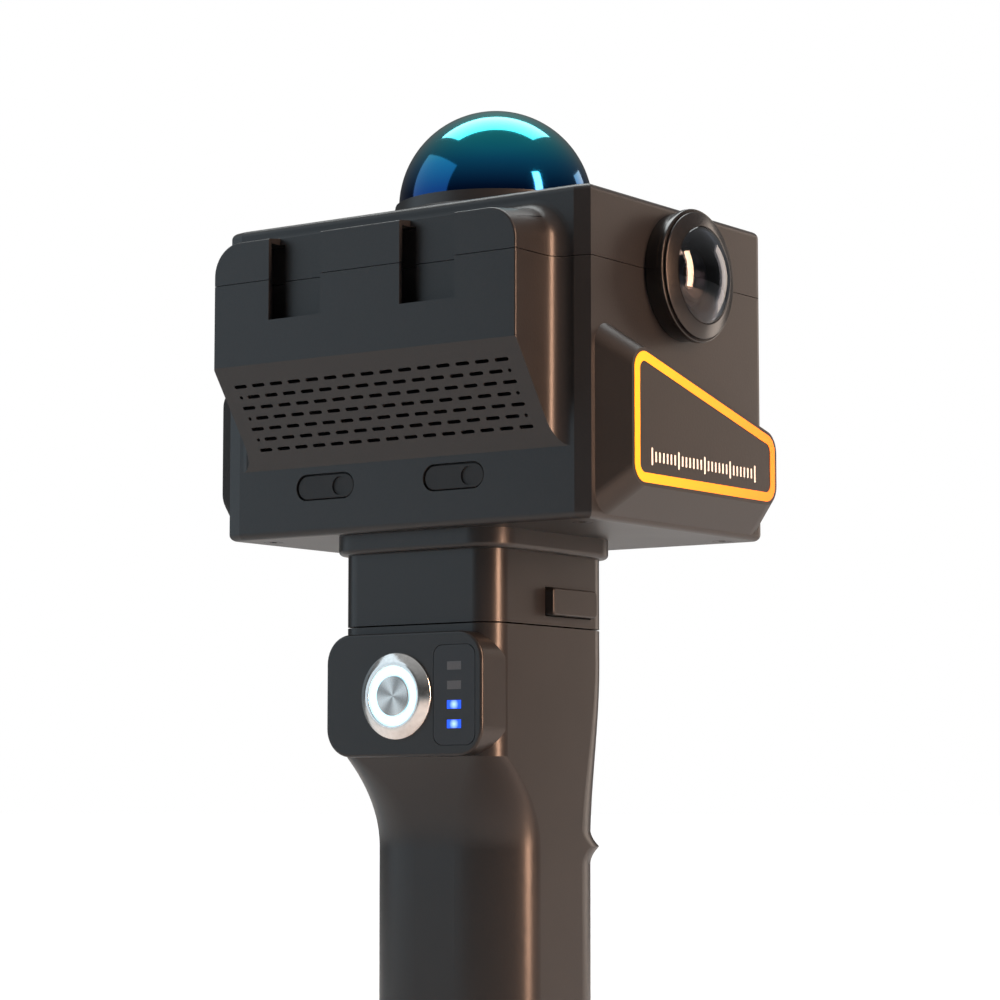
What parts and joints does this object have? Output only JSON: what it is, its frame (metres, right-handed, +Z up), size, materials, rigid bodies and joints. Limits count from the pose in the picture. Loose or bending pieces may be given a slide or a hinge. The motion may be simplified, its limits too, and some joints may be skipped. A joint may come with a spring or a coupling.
{
  "type": "handheld laser scanner",
  "caption": "Handheld mobile laser scanner with a domed lidar head, wide-angle side cameras and a battery handle that takes a tripod screw.",
  "frame": {"origin": "mouth of the tripod thread, in the middle of the handle's bottom face", "axes": "+Z up along the handle, +Y forwards away from the user, +X to the user's right"},
  "size_m": [0.1517, 0.1091, 0.2904],
  "materials": {
    "shell_plastic": "fine matt texture",
    "grip_plastic": "fine matt texture",
    "cover_plastic": "matt",
    "stripe": "satin",
    "vent_plastic": "matt",
    "soft_rubber": "matt",
    "ring_metal": "black anodised, satin",
    "camera_glass": "polished",
    "lens_black": "matt",
    "lens_coated": "coated",
    "dome_window": "polished, teal mirror coating",
    "bezel_chrome": "polished",
    "light_ring": "frosted",
    "button_metal": "brushed",
    "window_plastic": "satin",
    "light_on": "frosted, lit",
    "light_off": "frosted",
    "steel": "zinc plated",
    "brass": "turned",
    "insert_metal": "turned",
    "alloy": "machined",
    "board": "solder mask",
    "cell_wrap": "shrink wrap",
    "inner_plastic": "moulded",
    "copper": "wound",
    "mirror": "polished"
  },
  "bodies": {
    "scanner": {"handle_shell": "grip_plastic", "charge_window": "window_plastic", "charge_lights_unlit": "light_off", "charge_lights_lit": "light_on", "power_button_bezel": "bezel_chrome", "power_light_ring": "light_ring", "power_button_nut": "steel", "power_switch_body": "inner_plastic", "battery_cells": "cell_wrap", "battery_frame": "inner_plastic", "battery_board": "board", "handle_cap": "grip_plastic", "tripod_insert": "insert_metal", "socket_screws": "steel", "neck_sleeve": "grip_plastic", "neck_flange": "shell_plastic", "contact_pins": "brass", "handle_tongue": "inner_plastic", "release_spring_right": "steel", "release_spring_left": "steel", "upper_cover": "shell_plastic", "lower_housing": "shell_plastic", "vent_panel": "vent_plastic", "port_socket_left": "steel", "port_socket_right": "steel", "lidar_dome": "dome_window", "dome_gasket": "soft_rubber", "lidar_base": "alloy", "lidar_bearing": "steel", "lidar_stator": "copper", "main_board": "board", "board_posts": "brass", "heat_sink": "alloy", "fan_frame": "inner_plastic", "right_camera_barrel": "ring_metal", "right_camera_ring": "ring_metal", "right_camera_glass": "camera_glass", "right_lens_cell": "lens_black", "right_lens_element": "lens_coated", "right_camera_board": "board", "right_side_cover": "cover_plastic", "right_side_stripe": "stripe", "left_camera_barrel": "ring_metal", "left_camera_ring": "ring_metal", "left_camera_glass": "camera_glass", "left_lens_cell": "lens_black", "left_lens_element": "lens_coated", "left_camera_board": "board", "left_side_cover": "cover_plastic", "left_side_stripe": "stripe"},
    "power_cap": {"power_button_cap": "button_metal"},
    "latch_right": {"release_button_right": "grip_plastic"},
    "latch_left": {"release_button_left": "grip_plastic"},
    "cover_left": {"port_cover_left": "soft_rubber"},
    "cover_right": {"port_cover_right": "soft_rubber"},
    "lidar_rotor": {"lidar_spindle": "alloy", "lidar_mirror": "mirror", "laser_emitter": "alloy", "laser_receiver": "lens_black"},
    "fan": {"fan_rotor": "inner_plastic"}
  },
  "joints": [
    {"name": "power_button_press", "type": "slide", "parent": "scanner", "child": "power_cap", "axis": [0, 1, 0], "range_m": [0, 0.0012], "stiffness_N_per_m": 1500, "springref_m": -0.0008},
    {"name": "release_right_press", "type": "slide", "parent": "scanner", "child": "latch_right", "axis": [-1, 0, 0], "range_m": [0, 0.0016], "stiffness_N_per_m": 2000, "springref_m": -0.0008, "deforming": ["release_spring_right"]},
    {"name": "release_left_press", "type": "slide", "parent": "scanner", "child": "latch_left", "axis": [1, 0, 0], "range_m": [0, 0.0016], "stiffness_N_per_m": 2000, "springref_m": -0.0008, "deforming": ["release_spring_left"]},
    {"name": "port_cover_left_hinge", "type": "hinge", "parent": "scanner", "child": "cover_left", "pos_m": [-0.03665, -0.03925, 0.1787], "axis": [0, 0, -1], "range_deg": [0, 100], "stiffness_Nm_per_rad": 0.004},
    {"name": "port_cover_right_hinge", "type": "hinge", "parent": "scanner", "child": "cover_right", "pos_m": [0.00815, -0.03925, 0.1787], "axis": [0, 0, -1], "range_deg": [0, 100], "stiffness_Nm_per_rad": 0.004},
    {"name": "lidar_spin", "type": "hinge", "parent": "scanner", "child": "lidar_rotor", "pos_m": [0, 0.00565, 0.2525], "axis": [0, 0, 1], "continuous": true},
    {"name": "fan_spin", "type": "hinge", "parent": "scanner", "child": "fan", "pos_m": [0, -0.02925, 0.1952], "axis": [0, 1, 0], "continuous": true}
  ]
}
